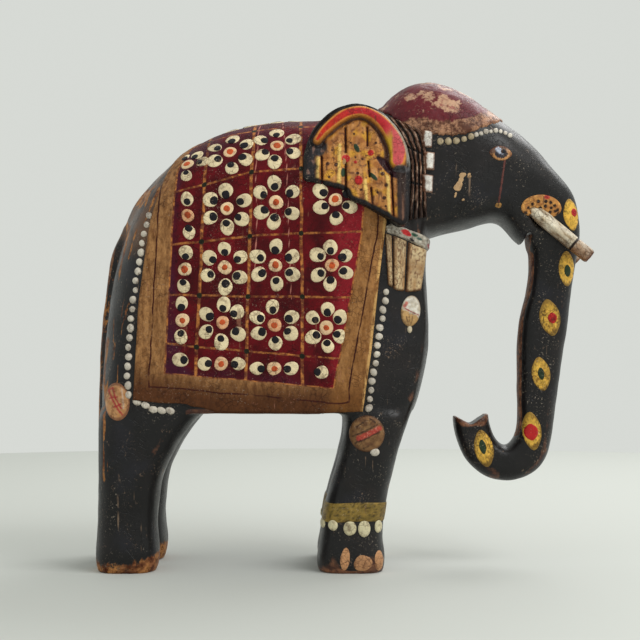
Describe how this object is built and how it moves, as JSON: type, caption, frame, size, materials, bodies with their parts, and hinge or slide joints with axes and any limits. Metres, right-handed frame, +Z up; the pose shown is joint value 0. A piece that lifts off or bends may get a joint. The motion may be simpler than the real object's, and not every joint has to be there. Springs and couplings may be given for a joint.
{
  "type": "carved wooden elephant",
  "caption": "Carved and painted wooden elephant statuette standing on its feet, with a saddle cloth, flat ears, tusks and a long trunk curled up at the tip.",
  "frame": {"origin": "centre of the bounding box on the plane that the feet stand on", "axes": "+X towards the head, +Z up, +Y to the elephant's left"},
  "size_m": [0.3104, 0.116, 0.3061],
  "materials": {
    "black_paint_wood": "semi-gloss black lacquer over carved wood, worn brown at the edges",
    "bare_wood": "unfinished softwood dowels and pins",
    "ear_wood": "carved ear boards painted ochre yellow with a red rolled rim",
    "tusk_wood": "whitish painted wooden pegs",
    "crimson_gesso": "crimson paint on gesso with raised cream flowers",
    "ochre_gesso": "brown ochre paint on gesso",
    "cap_gesso": "worn maroon paint on gesso",
    "pearl_paste": "off-white paste beads",
    "trim_gesso": "cream and ochre painted relief"
  },
  "bodies": {
    "root": {"torso_rear_block": "black_paint_wood", "torso_front_block": "black_paint_wood", "head_block": "black_paint_wood", "trunk": "black_paint_wood", "tail": "black_paint_wood", "leg_dowels": "bare_wood", "torso_dowels": "bare_wood", "neck_dowels": "bare_wood", "trunk_dowel": "bare_wood", "ear_pins": "bare_wood", "tail_pin": "bare_wood", "saddle_cloth": "crimson_gesso", "cloth_border": "ochre_gesso", "head_cap": "cap_gesso", "cloth_pearls": "pearl_paste", "brow_pearls": "pearl_paste", "temple_beads": "pearl_paste", "hind_leg_left": "black_paint_wood", "hind_leg_right": "black_paint_wood", "fore_leg_left": "black_paint_wood", "fore_leg_right": "black_paint_wood", "ear_left": "ear_wood", "ear_right": "ear_wood", "tusk_left": "tusk_wood", "tusk_right": "tusk_wood", "neck_frill_left": "ochre_gesso", "neck_frill_right": "ochre_gesso", "collar_left": "pearl_paste", "collar_right": "pearl_paste", "chest_bib_left": "trim_gesso", "chest_bib_right": "trim_gesso", "chest_pendant_left": "pearl_paste", "chest_pendant_right": "pearl_paste", "rump_tassel_left": "trim_gesso", "rump_tassel_right": "trim_gesso", "fore_tassel_left": "trim_gesso", "fore_tassel_right": "trim_gesso", "eye_left": "trim_gesso", "eye_right": "trim_gesso", "tusk_socket_left": "trim_gesso", "tusk_socket_right": "trim_gesso", "anklet_left": "ochre_gesso", "anklet_right": "ochre_gesso"}
  },
  "joints": []
}
